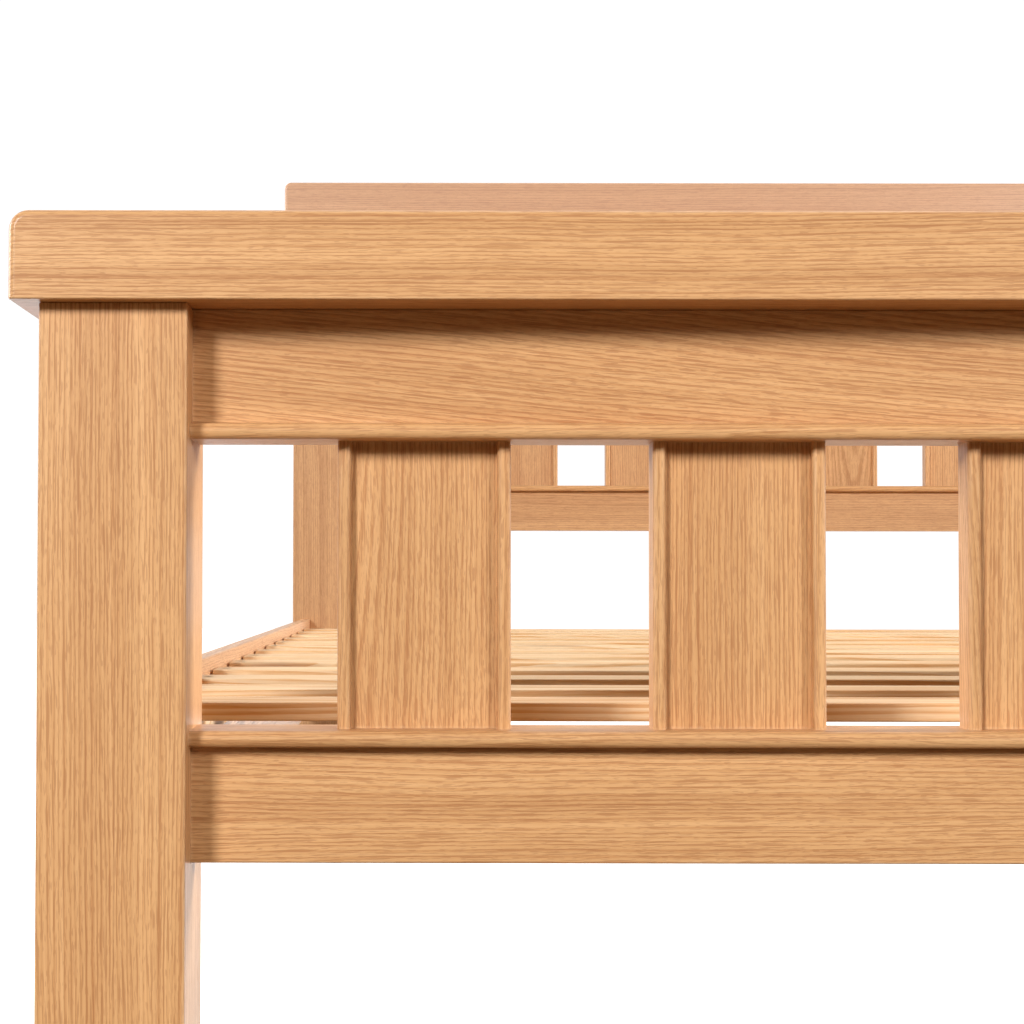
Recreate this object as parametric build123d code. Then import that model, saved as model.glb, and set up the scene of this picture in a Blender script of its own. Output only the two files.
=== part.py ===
from build123d import *
import os

# Slatted oak bed frame for a 135 x 190 cm mattress.
# Millimetres. X runs across the bed, +Y from foot end to head end, +Z up.
# The origin is on the floor, under the centre of the bed.

os.makedirs("parts", exist_ok=True)

# ---- driving dimensions ----
WIDTH = 1528.0  # outside faces of the posts
LENGTH = 2061.0  # front of the foot posts to the back of the head posts
FOOT_HEIGHT = 590.0  # floor to the top of the foot cap
HEAD_HEIGHT = 1005.0  # floor to the top of the head cap
POST = 75.0  # square section of the posts
EASED = 1.0  # eased arris of posts and rails

CAP_T = 45.0
CAP_END_OVERHANG = 13.5
CAP_FACE_OVERHANG = 12.0
CAP_END_R = 10.0  # the top of each end, seen from the front
CAP_TOP_R = 4.0
CAP_BOTTOM_R = 1.0

TOP_RAIL_H, RAIL_H = 59.5, 60.0  # the rail under a cap, and the others
RAIL_T = 25.0
STRIP_T = 8.5  # bead strip between a rail and the slats
STRIP_D = 50.0
STRIP_R = 4.2
TENON_L, TENON_H, TENON_T = 30.0, 40.0, 12.0

SLAT_COUNT = 8
SLAT_W = 89.5
SLAT_PITCH = 162.7
PANEL_T = 8.0
LIPPING_W, LIPPING_D, LIPPING_R = 7.0, 21.5, 2.5
GROOVE = 3.0  # depth of the groove in the lipping that holds the panel
STUB_W, STUB_L = 60.0, 12.0  # slat tongue, and how far it enters the rail

FOOT_SLAT_Z = 328.5  # underside of the foot slats
HEAD_SLAT_Z = 547.5  # underside of the head slats

SIDE_H, SIDE_T = 140.0, 13.0
SIDE_TOP = 344.0
SIDE_INSET = 12.5  # from the post's outside face
LEDGER_H, LEDGER_T = 25.0, 20.0

BED_SLAT_COUNT = 13
BED_SLAT_W, BED_SLAT_T = 60.0, 11.0
BED_SLAT_TOP = 333.0
BED_SLAT_FIRST = 202.0  # front of the foot posts to the middle of the first slat
BED_SLAT_PITCH = 136.0
BED_SLAT_END_GAP = 2.0

CENTRE_RAIL = 45.0  # square section
CLEAT_W, CLEAT_H, CLEAT_T, CLEAT_FLOOR = 97.0, 50.0, 20.0, 15.0
CLEAT_SCREWS = (-2.0, 22.0)  # heights above the underside of the centre rail
REBATE_CLEAR = 0.5  # room between the ends of the centre rail and the strips above
LEG_FROM_FOOT = 760.0  # front of the foot posts to the middle of the centre leg
LEG_BOTTOM = 20.0

GLIDE_R, GLIDE_T, GLIDE_PIN_R, GLIDE_PIN_L = 12.5, 4.0, 2.5, 15.0
BRACKET_T, BRACKET_LEG, BRACKET_H = 3.0, 35.0, 70.0
BRACKET_Z = 220.0
BRACKET_SHARES = (0.25, 0.75)  # where the fastenings are, up a bracket
PAN_SHARE = 0.6  # and along its leg
BOLT_R, BOLT_IN_POST, BOLT_HEAD_AF, BOLT_HEAD_T = 4.0, 40.0, 13.0, 5.0
PAN_R, PAN_T, PAN_IN_RAIL = 4.0, 2.4, 10.0
SCREW_R, SCREW_HEAD_R, SCREW_HEAD_T, SCREW_L = 2.0, 4.0, 2.5, 30.0
DOWEL_R, DOWEL_L = 5.0, 40.0

STEM_R, STEM_TOP, STEM_CLEAR = 5.0, 50.0, 0.05
PAD_R, PAD_T, PAD_EASED = 18.0, 5.0, 1.5
COLLAR_AF, COLLAR_T = 17.0, 3.0
INSERT_R, INSERT_L, FLANGE_R, FLANGE_T = 8.0, 18.0, 12.0, 2.0
STEM_HOLE_R, STEM_HOLE_TOP = 6.0, 62.0

# ---- worked out from them ----
INNER = WIDTH - 2 * POST
FOOT_Y = -LENGTH / 2 + POST / 2  # middle of the foot posts
HEAD_Y = LENGTH / 2 - POST / 2
SIDE_INNER = WIDTH / 2 - SIDE_INSET - SIDE_T  # inner face of a side rail
SIDE_LENGTH = LENGTH - 2 * POST
LOWER_RAIL_TOP = FOOT_SLAT_Z - STRIP_T  # also of the head base rail
LEDGER_TOP = BED_SLAT_TOP - BED_SLAT_T
CENTRE_RAIL_Z = LEDGER_TOP - CENTRE_RAIL
LEG_Y = -LENGTH / 2 + LEG_FROM_FOOT
SLAT_X = [(i - (SLAT_COUNT - 1) / 2) * SLAT_PITCH for i in range(SLAT_COUNT)]
BED_SLAT_Y = [-LENGTH / 2 + BED_SLAT_FIRST + i * BED_SLAT_PITCH for i in range(BED_SLAT_COUNT)]
ENDS = {"foot": (FOOT_Y, FOOT_HEIGHT, FOOT_SLAT_Z), "head": (HEAD_Y, HEAD_HEIGHT, HEAD_SLAT_Z)}
SIDES = {"left": -1, "right": 1}


# ---- helpers ----
def block(x, y, z, dx, dy, dz):
    """A box centred on x and y that stands on z."""
    return Pos(x, y, z) * Box(dx, dy, dz, align=(Align.CENTER, Align.CENTER, Align.MIN))


def rod(x, y, z, radius, length, direction=(0, 0, 1)):
    """A round bar that starts at a point and runs along a direction."""
    plane = Plane(origin=(x, y, z), z_dir=direction)
    return plane * Cylinder(radius, length, align=(Align.CENTER, Align.CENTER, Align.MIN))


def long_edges(shape, axis):
    """The edges that run along an axis."""
    return shape.edges().filter_by(axis)


def save(name, *solids):
    """Writes one node: a single solid, or a group of separate ones."""
    shape = solids[0] if len(solids) == 1 else Compound(children=list(solids))
    export_step(shape, f"parts/{name}.step")


def tenon(x, y, rail_top):
    """The tongue at one end of a rail, centred on x."""
    return block(x, y, rail_top - RAIL_H / 2 - TENON_H / 2, TENON_L, TENON_T, TENON_H)


def wood_screw(x, y, z, direction):
    """A countersunk screw whose head is flush with the surface at the point given."""
    plane = Plane(origin=(x, y, z), z_dir=direction)
    head = plane * Cone(SCREW_HEAD_R, SCREW_R, SCREW_HEAD_T, align=(Align.CENTER, Align.CENTER, Align.MIN))
    return head + rod(x, y, z, SCREW_R, SCREW_L, direction)


def dowel(x, y, z):
    """A dowel standing half above and half below z."""
    return rod(x, y, z - DOWEL_L / 2, DOWEL_R, DOWEL_L)


# ---- fasteners: made first, because the timber is bored for them ----
def make_bed_slat_screws():
    """One screw through each end of every mattress slat into its ledger."""
    x = SIDE_INNER - LEDGER_T / 2
    return [wood_screw(s * x, y, BED_SLAT_TOP, (0, 0, -1)) for y in BED_SLAT_Y for s in (-1, 1)]


def make_ledger_screws():
    """Screws through the ledgers into the side rails, in every other gap between slats."""
    x, z = SIDE_INNER - LEDGER_T, LEDGER_TOP - LEDGER_H / 2
    gaps = [y + BED_SLAT_PITCH / 2 for y in BED_SLAT_Y[0:-1:2]]
    return [wood_screw(s * x, y, z, (s, 0, 0)) for y in gaps for s in (-1, 1)]


def make_cleat_screws():
    """Four screws through each cleat into the end rail behind it."""
    x = (CENTRE_RAIL + CLEAT_W) / 4
    screws = []
    for end_y, toward in ((FOOT_Y, -1), (HEAD_Y, 1)):
        y = end_y - toward * (RAIL_T / 2 + CLEAT_T)
        for z in CLEAT_SCREWS:
            screws += [wood_screw(s * x, y, CENTRE_RAIL_Z + z, (0, toward, 0)) for s in (-1, 1)]
    return screws


def make_dowels():
    """Dowels that hold the caps on posts and rails, and the centre leg on its rail."""
    found = [dowel(0, LEG_Y, CENTRE_RAIL_Z)]
    for y, height, _ in ENDS.values():
        for x in (-(WIDTH - POST) / 2, -INNER / 3, 0, INNER / 3, (WIDTH - POST) / 2):
            found.append(dowel(x, y, height - CAP_T))
    return found


def corner_points():
    """For each corner: side, end direction, and the y of the post face that the side rail meets."""
    return [(s, e, e * SIDE_LENGTH / 2) for s in (-1, 1) for e in (-1, 1)]


def bracket_heights():
    """The heights of the two fastenings in each leg of a bracket."""
    return [BRACKET_Z + BRACKET_H * share for share in BRACKET_SHARES]


def make_bracket_bolts():
    """Hexagon-head bolts through the brackets into the posts."""
    bolts = []
    for s, e, y in corner_points():
        x = s * (SIDE_INNER - BRACKET_LEG / 2 - BRACKET_T / 2)
        for z in bracket_heights():
            face = y - e * BRACKET_T
            shank = rod(x, face, z, BOLT_R, BOLT_IN_POST + BRACKET_T, (0, e, 0))
            plane = Plane(origin=(x, face, z), z_dir=(0, -e, 0))
            head = extrude(plane * RegularPolygon(BOLT_HEAD_AF / 2, 6, major_radius=False), BOLT_HEAD_T)
            bolts.append(shank + head)
    return bolts


def make_bracket_screws():
    """Pan-head screws through the brackets into the side rails."""
    screws = []
    for s, e, y in corner_points():
        for z in bracket_heights():
            at_y = y - e * (BRACKET_T + BRACKET_LEG) * PAN_SHARE
            face = s * (SIDE_INNER - BRACKET_T)
            shank = rod(face, at_y, z, SCREW_R, PAN_IN_RAIL + BRACKET_T, (s, 0, 0))
            screws.append(shank + rod(face, at_y, z, PAN_R, PAN_T, (-s, 0, 0)))
    return screws


def make_glides():
    """A nail-on glide under each post."""
    glides = []
    for s in (-1, 1):
        for y in (FOOT_Y, HEAD_Y):
            x = s * (WIDTH - POST) / 2
            glides.append(rod(x, y, 0, GLIDE_R, GLIDE_T) + rod(x, y, GLIDE_T, GLIDE_PIN_R, GLIDE_PIN_L))
    return glides


# ---- timber ----
def make_post(side, end_y, height, rail_tops):
    """A post from glide to cap, with a mortise for each rail."""
    x = side * (WIDTH - POST) / 2
    post = block(x, end_y, GLIDE_T, POST, POST, height - CAP_T - GLIDE_T)
    post = fillet(long_edges(post, Axis.Z), EASED)
    for top in rail_tops:
        post -= tenon(side * (INNER + TENON_L) / 2, end_y, top)
    return post


def make_cap(end_y, height):
    """The thick rail along the top: rounded ends, rounded upper edges, eased underside."""
    long, deep = WIDTH + 2 * CAP_END_OVERHANG, POST + 2 * CAP_FACE_OVERHANG
    cap = block(0, end_y, height - CAP_T, long, deep, CAP_T)
    cap = fillet(long_edges(cap, Axis.Y).group_by(Axis.Z)[-1], CAP_END_R)
    for front_or_back in (0, -1):
        face = cap.faces().sort_by(Axis.Y)[front_or_back]
        cap = fillet([e for e in face.edges() if e.center().Z > height - CAP_T], CAP_TOP_R)
    bottom = cap.faces().sort_by(Axis.Z)[0]
    return fillet(bottom.edges(), CAP_BOTTOM_R)


def make_rail(end_y, top, height, stub_z=None):
    """A rail with a tenon at each end, and a mortise for each slat on the side of stub_z."""
    rail = block(0, end_y, top - height, INNER, RAIL_T, height)
    rail = fillet(long_edges(rail, Axis.X), EASED)
    for s in (-1, 1):
        rail += tenon(s * (INNER + TENON_L) / 2, end_y, top)
    if stub_z is not None:
        for x in SLAT_X:
            rail -= block(x, end_y, stub_z, STUB_W, PANEL_T, STUB_L)
    return rail


def make_strip(end_y, z):
    """The bead strip: rounded nose front and back, with a slot for each slat's tongue."""
    strip = block(0, end_y, z, INNER, STRIP_D, STRIP_T)
    strip = fillet(long_edges(strip, Axis.X), STRIP_R)
    for x in SLAT_X:
        strip -= block(x, end_y, z, STUB_W, PANEL_T, STRIP_T)
    return strip


def make_panel(x, end_y, z_low, z_high):
    """The thin middle of a slat, with tongues that pass through both strips into the rails."""
    width = SLAT_W - 2 * (LIPPING_W - GROOVE)
    panel = block(x, end_y, z_low, width, PANEL_T, z_high - z_low)
    reach = STRIP_T + STUB_L
    return panel + block(x, end_y, z_low - reach, STUB_W, PANEL_T, z_high - z_low + 2 * reach)


def make_lipping(x, side, end_y, z_low, z_high):
    """The rounded edge of a slat, grooved for the panel."""
    middle = x + side * (SLAT_W - LIPPING_W) / 2
    lipping = block(middle, end_y, z_low, LIPPING_W, LIPPING_D, z_high - z_low)
    lipping = fillet(long_edges(lipping, Axis.Z), LIPPING_R)
    groove_x = middle - side * (LIPPING_W - GROOVE) / 2
    return lipping - block(groove_x, end_y, z_low, GROOVE, PANEL_T, z_high - z_low)


def make_side_rail(side):
    """A side rail between a foot post and a head post."""
    x = side * (SIDE_INNER + SIDE_T / 2)
    rail = block(x, 0, SIDE_TOP - SIDE_H, SIDE_T, SIDE_LENGTH, SIDE_H)
    return fillet(long_edges(rail, Axis.Y), EASED)


def make_ledger(side):
    """The bearer on which the mattress slats lie."""
    x = side * (SIDE_INNER - LEDGER_T / 2)
    return block(x, 0, LEDGER_TOP - LEDGER_H, LEDGER_T, SIDE_LENGTH, LEDGER_H)


def make_bed_slat(y):
    """One mattress slat, from ledger to ledger."""
    slat = block(0, y, LEDGER_TOP, 2 * (SIDE_INNER - BED_SLAT_END_GAP), BED_SLAT_W, BED_SLAT_T)
    return fillet(long_edges(slat, Axis.X), EASED)


def make_centre_rail():
    """The bearer under the middle of the slats, rebated at its ends to pass under the strips."""
    length, rebate = HEAD_Y - FOOT_Y - RAIL_T, (STRIP_D - RAIL_T) / 2 + REBATE_CLEAR
    rail = block(0, 0, CENTRE_RAIL_Z, CENTRE_RAIL, length, CENTRE_RAIL)
    floor = LOWER_RAIL_TOP - REBATE_CLEAR
    for s in (-1, 1):
        rail -= block(0, s * (length - rebate) / 2, floor, CENTRE_RAIL, rebate, CENTRE_RAIL)
    return rail


def make_cleat(end_y, toward):
    """A forked cleat that holds one end of the centre rail."""
    y = end_y - toward * (RAIL_T + CLEAT_T) / 2
    cleat = block(0, y, CENTRE_RAIL_Z - CLEAT_FLOOR, CLEAT_W, CLEAT_T, CLEAT_H)
    return cleat - block(0, y, CENTRE_RAIL_Z, CENTRE_RAIL, CLEAT_T, CLEAT_H)


# ---- centre leg and its levelling foot ----
def make_centre_leg():
    """The leg under the centre rail, bored for the insert and the levelling stem."""
    leg = block(0, LEG_Y, LEG_BOTTOM, CENTRE_RAIL, CENTRE_RAIL, CENTRE_RAIL_Z - LEG_BOTTOM)
    leg = fillet(long_edges(leg, Axis.Z), EASED)
    leg -= rod(0, LEG_Y, LEG_BOTTOM, INSERT_R, INSERT_L)
    return leg - rod(0, LEG_Y, LEG_BOTTOM, STEM_HOLE_R, STEM_HOLE_TOP - LEG_BOTTOM)


def make_insert():
    """The flanged sleeve that the levelling stem runs in."""
    insert = rod(0, LEG_Y, LEG_BOTTOM, INSERT_R, INSERT_L)
    insert += rod(0, LEG_Y, LEG_BOTTOM - FLANGE_T, FLANGE_R, FLANGE_T)
    return insert - rod(0, LEG_Y, LEG_BOTTOM - FLANGE_T, STEM_R + STEM_CLEAR, INSERT_L + FLANGE_T)


def make_levelling_foot():
    """A pad with a hexagon collar and a stem, which screws in and out of the leg."""
    pad = rod(0, LEG_Y, 0, PAD_R, PAD_T)
    pad = fillet(pad.edges().group_by(Axis.Z)[-1], PAD_EASED)
    collar_plane = Plane(origin=(0, LEG_Y, PAD_T), z_dir=(0, 0, 1))
    pad += extrude(collar_plane * RegularPolygon(COLLAR_AF / 2, 6, major_radius=False), COLLAR_T)
    return pad + rod(0, LEG_Y, PAD_T, STEM_R, STEM_TOP - PAD_T)


def make_bracket(side, end, face_y):
    """A steel angle: one leg on the side rail, one on the post."""
    length, half_t = BRACKET_LEG + BRACKET_T, BRACKET_T / 2
    rail_x, rail_y = side * (SIDE_INNER - half_t), face_y - end * length / 2
    post_x, post_y = side * (SIDE_INNER - length / 2), face_y - end * half_t
    on_rail = block(rail_x, rail_y, BRACKET_Z, BRACKET_T, length, BRACKET_H)
    return on_rail + block(post_x, post_y, BRACKET_Z, length, BRACKET_T, BRACKET_H)


# ---- assembly ----
def bored(shape, pins):
    """A piece with every fastener that reaches its box cut out of it."""
    box = shape.bounding_box()
    for pin in pins:
        if box.overlaps(pin.bounding_box(), 0.0):
            shape -= pin
    return shape


def save_end(end, pins):
    """The posts, cap, rails, strips and slats of the foot end or the head end."""
    y, height, slat_low = ENDS[end]
    top_rail_top = height - CAP_T
    slat_high = top_rail_top - TOP_RAIL_H - STRIP_T
    lower_rail_top = slat_low - STRIP_T
    rail_tops = [top_rail_top, lower_rail_top]
    if end == "head":
        rail_tops.append(LOWER_RAIL_TOP)
        save("head_base_rail", bored(make_rail(y, LOWER_RAIL_TOP, RAIL_H), pins))
    for name, side in SIDES.items():
        save(f"{end}_post_{name}", bored(make_post(side, y, height, rail_tops), pins))
    save(f"{end}_cap_rail", bored(make_cap(y, height), pins))
    top_rail = make_rail(y, top_rail_top, TOP_RAIL_H, top_rail_top - TOP_RAIL_H)
    save(f"{end}_top_rail", bored(top_rail, pins))
    lower_rail = make_rail(y, lower_rail_top, RAIL_H, lower_rail_top - STUB_L)
    save(f"{end}_lower_rail", bored(lower_rail, pins))
    save(f"{end}_top_strip", make_strip(y, slat_high))
    save(f"{end}_lower_strip", make_strip(y, lower_rail_top))
    for i, x in enumerate(SLAT_X, 1):
        save(f"{end}_slat_{i}", make_panel(x, y, slat_low, slat_high))
    lippings = [make_lipping(x, s, y, slat_low, slat_high) for x in SLAT_X for s in (-1, 1)]
    save(f"{end}_slat_lippings", *lippings)


def save_slat_base(pins):
    """Side rails, ledgers, mattress slats, centre rail and its cleats."""
    for name, side in SIDES.items():
        save(f"side_rail_{name}", bored(make_side_rail(side), pins))
    save("slat_ledgers", *[bored(make_ledger(side), pins) for side in SIDES.values()])
    for i, y in enumerate(BED_SLAT_Y, 1):
        save(f"mattress_slat_{i}", bored(make_bed_slat(y), pins))
    save("centre_rail", bored(make_centre_rail(), pins))
    cleats = [make_cleat(FOOT_Y, -1), make_cleat(HEAD_Y, 1)]
    save("centre_rail_cleats", *[bored(cleat, pins) for cleat in cleats])


def save_centre_leg(pins):
    """The leg, its insert and the levelling foot."""
    save("centre_leg", bored(make_centre_leg(), pins))
    save("leg_insert", make_insert())
    save("levelling_foot", make_levelling_foot())


def main():
    wood_screws = make_bed_slat_screws() + make_ledger_screws() + make_cleat_screws()
    fasteners = {
        "wood_screws": wood_screws,
        "dowels": make_dowels(),
        "bracket_bolts": make_bracket_bolts(),
        "bracket_screws": make_bracket_screws(),
        "post_glides": make_glides(),
    }
    for name, pins in fasteners.items():
        save(name, *pins)
    pins = [pin for group in fasteners.values() for pin in group]
    brackets = [bored(make_bracket(*corner), pins) for corner in corner_points()]
    save("corner_brackets", *brackets)
    save_end("foot", pins)
    save_end("head", pins)
    save_slat_base(pins)
    save_centre_leg(pins)


main()
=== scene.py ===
"""Solid oak bed frame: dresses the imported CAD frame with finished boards, hardware and studio light."""

import logging
import math
import random
from dataclasses import dataclass, field
from enum import Enum
from typing import Callable, Iterable
import bpy  # noqa: E402
from mathutils import Matrix, Vector  # noqa: E402


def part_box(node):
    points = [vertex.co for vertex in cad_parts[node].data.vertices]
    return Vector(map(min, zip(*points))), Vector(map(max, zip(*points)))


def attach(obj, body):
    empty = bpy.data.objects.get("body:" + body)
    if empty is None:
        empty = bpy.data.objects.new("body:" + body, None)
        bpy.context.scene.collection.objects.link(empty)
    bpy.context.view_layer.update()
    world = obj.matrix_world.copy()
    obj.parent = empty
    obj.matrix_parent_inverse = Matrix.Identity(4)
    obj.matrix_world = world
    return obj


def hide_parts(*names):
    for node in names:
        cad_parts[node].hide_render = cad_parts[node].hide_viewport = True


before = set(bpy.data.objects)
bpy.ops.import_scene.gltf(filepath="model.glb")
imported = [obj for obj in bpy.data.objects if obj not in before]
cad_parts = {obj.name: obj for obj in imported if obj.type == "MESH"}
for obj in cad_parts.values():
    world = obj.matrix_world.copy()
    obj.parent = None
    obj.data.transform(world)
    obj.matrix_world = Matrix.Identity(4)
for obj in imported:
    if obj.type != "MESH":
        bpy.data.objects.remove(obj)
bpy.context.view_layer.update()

LOG = logging.getLogger("bed_frame")
BED = "bed_frame"
MM = 0.001
SMOOTH_BELOW = math.radians(38)  # faces that meet at a smaller angle are shaded as one
ALIGNED = 0.99  # how much of its direction an edge must have along an axis to count as parallel to it
NEAR = 0.1 * MM  # how close a point must be to a face to count as on it
SIDES = ("left", "right")

Colour = tuple[float, float, float, float]
Triple = tuple[float, float, float]
Socket = bpy.types.NodeSocket
Value = float | Socket
EdgeTest = Callable[[Vector, Vector], bool]


def srgb(red: int, green: int, blue: int) -> Colour:
    """Turns a display colour into the linear colour that shaders take.

    Args:
        red: red, 0 to 255.
        green: green, 0 to 255.
        blue: blue, 0 to 255.

    Returns:
        The linear colour with full alpha.
    """
    parts = (c / 255 for c in (red, green, blue))
    linear = [c / 12.92 if c <= 0.04045 else ((c + 0.055) / 1.055) ** 2.4 for c in parts]
    return (*linear, 1.0)


WHITE: Colour = (1.0, 1.0, 1.0, 1.0)
# painted sheen: the pale pink that the lacquer's glancing reflection shows, mixed into the colour
PAINTED_SHEEN_PINK = srgb(214, 176, 162)
PALE_EDGE = srgb(232, 196, 156)
KNOT = srgb(112, 62, 30)


class Lie(Enum):
    """How a board lies: the directions of its width, its thickness and its length."""

    UPRIGHT = ((1, 0, 0), (0, 1, 0), (0, 0, 1))
    CROSS_RAIL = ((0, 0, -1), (0, 1, 0), (1, 0, 0))
    SIDE_RAIL = ((0, 0, 1), (1, 0, 0), (0, 1, 0))
    FLAT = ((0, 1, 0), (0, 0, 1), (1, 0, 0))

    def turn(self) -> Matrix:
        """The turn that brings the board's length to Z and its width to X."""
        return Matrix(self.value)


@dataclass(frozen=True)
class Sawmill:
    """The ranges that cuts are drawn from.

    Attributes:
        flat_across: most distance sideways of the pith from a flat-sawn board's middle.
        flat_deep: least and most distance of the pith behind a flat-sawn board.
        straight_across: the same sideways for a straight-grained board.
        straight_deep: the same behind it.
        lean: most angle of the grain on a board's face, in degrees.
        dive: most angle of the grain into a board's face, in degrees.
        log: half the length of the logs.
    """

    flat_across: float = 0.015
    flat_deep: tuple[float, float] = (0.03, 0.07)
    straight_across: tuple[float, float] = (0.08, 0.15)
    straight_deep: tuple[float, float] = (0.06, 0.12)
    lean: float = 1.8
    dive: float = 2.2
    log: float = 3.0


SAWMILL = Sawmill()


@dataclass(frozen=True)
class Cut:
    """How a board was sawn from its log.

    Attributes:
        across: distance of the pith from the board's middle, along its width.
        deep: distance of the pith from the board's middle, along its thickness.
        lean: angle between the grain and the board's length, seen on its face, in degrees.
        dive: angle between the grain and the board's face, in degrees.
        tone: 0 for the palest boards and 1 for the deepest.
        start: where along the log the board was cut, in metres.
        painted_sheen: how far the board's colour is pushed towards pale pink, a painted sheen that stands for
            the lacquer's glancing reflection, 0 to 1.
    """

    across: float = 0.12
    deep: float = 0.09
    lean: float = 0.6
    dive: float = 0.8
    tone: float = 0.5
    start: float = 0.0
    painted_sheen: float = 0.0

    @classmethod
    def random(cls, name: str, flat: bool = False) -> "Cut":
        """Draws a cut from the board's own name, so that each run gives the same board.

        Args:
            name: the board's name, which seeds the draw.
            flat: True for a flat-sawn board with arched figure, False for straight grain.

        Returns:
            The cut.
        """
        draw, mill = random.Random(name), SAWMILL
        side = draw.choice((-1, 1))
        if flat:
            across = draw.uniform(-mill.flat_across, mill.flat_across)
            deep = side * draw.uniform(*mill.flat_deep)
        else:
            across = side * draw.uniform(*mill.straight_across)
            deep = draw.choice((-1, 1)) * draw.uniform(*mill.straight_deep)
        lean, dive = draw.uniform(-mill.lean, mill.lean), draw.uniform(-mill.dive, mill.dive)
        return cls(across, deep, lean, dive, draw.random(), draw.uniform(-mill.log, mill.log))


class Shader:
    """Puts nodes in one node tree and joins them up."""

    def __init__(self, tree: bpy.types.NodeTree) -> None:
        """Keeps the tree that the nodes go in."""
        self.tree = tree

    def node(self, kind: str, inputs: dict[int | str, object] | None = None,
             **settings: object) -> bpy.types.Node:
        """Adds a node.

        Args:
            kind: the node's type, without the leading ShaderNode.
            inputs: values or sockets for its inputs, by name or number.
            settings: the node's own properties.

        Returns:
            The new node.
        """
        made = self.tree.nodes.new("ShaderNode" + kind)
        for key, value in settings.items():
            setattr(made, key, value)
        for key, value in (inputs or {}).items():
            if isinstance(value, Socket):
                self.tree.links.new(value, made.inputs[key])
            else:
                made.inputs[key].default_value = value
        return made

    def calc(self, operation: str, *values: Value) -> Socket:
        """Adds a Math node and returns its result."""
        return self.node("Math", dict(enumerate(values)), operation=operation).outputs[0]

    def total(self, *parts: tuple[Value, float], start: float = 0.0) -> Socket:
        """Adds up values, each times its weight.

        Args:
            parts: values with their weights.
            start: what the sum starts from.

        Returns:
            The sum.
        """
        result: Value = start
        for value, weight in parts:
            result = self.calc("MULTIPLY_ADD", value, weight, result)
        return result

    def vector(self, operation: str, *values: object) -> Socket:
        """Adds a Vector Math node and returns its vector."""
        return self.node("VectorMath", dict(enumerate(values)), operation=operation).outputs[0]

    def noise(self, place: Socket, scale: Triple, detail: float = 0.0, out: str = "Fac") -> Socket:
        """Adds noise stretched by its own scale on each axis.

        Args:
            place: the point to read the noise at.
            scale: repeats per metre along X, Y and Z.
            detail: octaves beyond the first.
            out: Fac for one value or Color for three.

        Returns:
            Values from 0 to 1.
        """
        inputs = {"Vector": self.vector("MULTIPLY", place, scale), "Scale": 1.0, "Detail": detail}
        return self.node("TexNoise", inputs).outputs[out]

    def bend(self, place: Socket, scale: Triple, detail: float, reach: float) -> Socket:
        """Makes a sideways shift that changes from place to place.

        Args:
            place: the point to read the shift at.
            scale: repeats per metre along X, Y and Z.
            detail: octaves beyond the first.
            reach: twice the most that it shifts, along X and Y.

        Returns:
            The shift.
        """
        waves = self.noise(place, scale, detail, "Color")
        return self.vector("MULTIPLY", self.vector("SUBTRACT", waves, (0.5, 0.5, 0.5)), (reach, reach, 0))

    def span(self, value: Socket, low: float, high: float,
             new_low: float = 0.0, new_high: float = 1.0) -> Socket:
        """Maps a span of values smoothly to another, held at its ends.

        Args:
            value: the value to map.
            low: the start of its span.
            high: the end of its span.
            new_low: the result at the start.
            new_high: the result at the end.

        Returns:
            The mapped value.
        """
        inputs = {"Value": value, 1: low, 2: high, 3: new_low, 4: new_high}
        return self.node("MapRange", inputs, interpolation_type="SMOOTHSTEP").outputs[0]

    def mix(self, share: Value, first: Colour | Socket, second: Colour | Socket, how: str = "MIX") -> Socket:
        """Adds a colour Mix node.

        Args:
            share: how much of the second colour there is, 0 to 1.
            first: the first colour.
            second: the second colour.
            how: the blend type.

        Returns:
            The mixed colour.
        """
        return self.node("Mix", {0: share, 6: first, 7: second}, data_type="RGBA", blend_type=how).outputs[2]

    def ramp(self, value: Socket, stops: Iterable[tuple[float, Colour]]) -> Socket:
        """Adds a colour ramp.

        Args:
            value: what chooses the colour.
            stops: places from 0 to 1 with their colours.

        Returns:
            The colour.
        """
        made = self.node("ValToRGB", {0: value})
        places = list(stops)
        marks = made.color_ramp.elements
        while len(marks) < len(places):
            marks.new(0.5)
        for mark, (place, colour) in zip(marks, places):
            mark.position, mark.color = place, colour
        return made.outputs[0]

    def surface(self, skin: bpy.types.Node) -> None:
        """Joins a finished shader to the material's output."""
        self.tree.links.new(skin.outputs[0], self.node("OutputMaterial").inputs["Surface"])


def fresh_material(name: str) -> tuple[bpy.types.Material, Shader]:
    """Makes an empty node material.

    Args:
        name: the material's name.

    Returns:
        The material and the shader builder for it.
    """
    made = bpy.data.materials.new(name)
    made.use_nodes = True
    made.node_tree.nodes.clear()
    return made, Shader(made.node_tree)


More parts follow.
